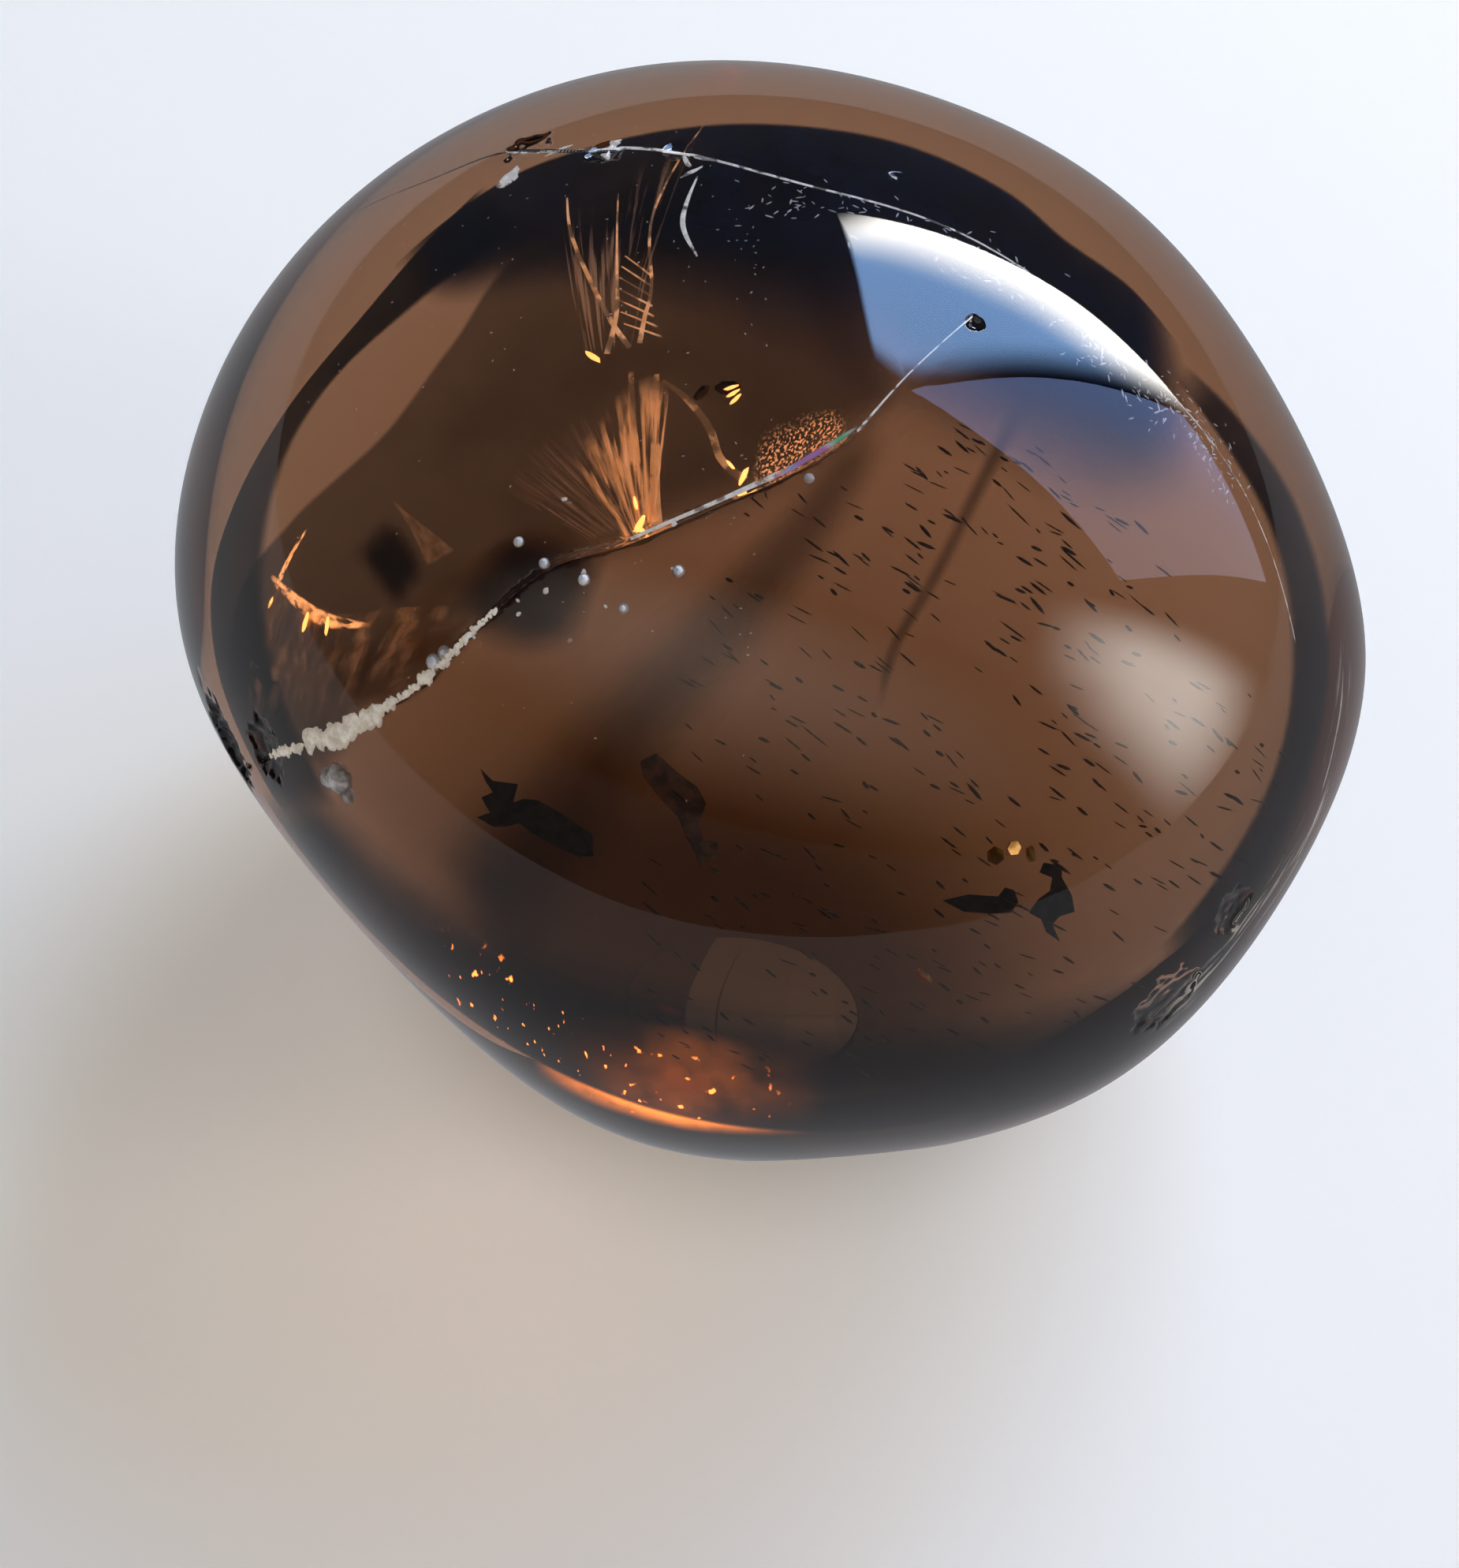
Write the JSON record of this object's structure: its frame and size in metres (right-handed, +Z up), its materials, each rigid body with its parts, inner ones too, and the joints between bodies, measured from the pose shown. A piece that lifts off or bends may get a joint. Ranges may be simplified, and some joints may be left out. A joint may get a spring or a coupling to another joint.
{
  "type": "polished quartz pebble",
  "caption": "Polished smoky quartz pebble with mineral inclusions and an open, crusted crack; rests on a small flat spot.",
  "frame": {"origin": "on the surface that the stone rests on, under the middle of its bounding box", "axes": "+X along the stone's length, +Z up from its resting spot"},
  "size_m": [0.0774, 0.0708, 0.0658],
  "materials": {
    "smoky_quartz": "high polish, clear smoky brown with fine wear scratches",
    "pale_crust": "rough, cream, granular",
    "grey_nodule": "bumpy, translucent grey-brown",
    "white_grain": "sugary white",
    "black_mineral": "satin black, flaky",
    "brown_mineral": "satin dark brown",
    "gold_mineral": "bright metallic lustre"
  },
  "bodies": {
    "root": {"quartz_crystal": "smoky_quartz", "crack_crust": "pale_crust", "pit_nodule": "grey_nodule", "crack_grains": "white_grain", "black_flake_bird": "black_mineral", "black_flake_comma": "black_mineral", "black_flake_torn": "black_mineral", "brown_flake_folded": "brown_mineral", "dark_rods": "brown_mineral", "gold_plates": "gold_mineral"}
  },
  "joints": []
}
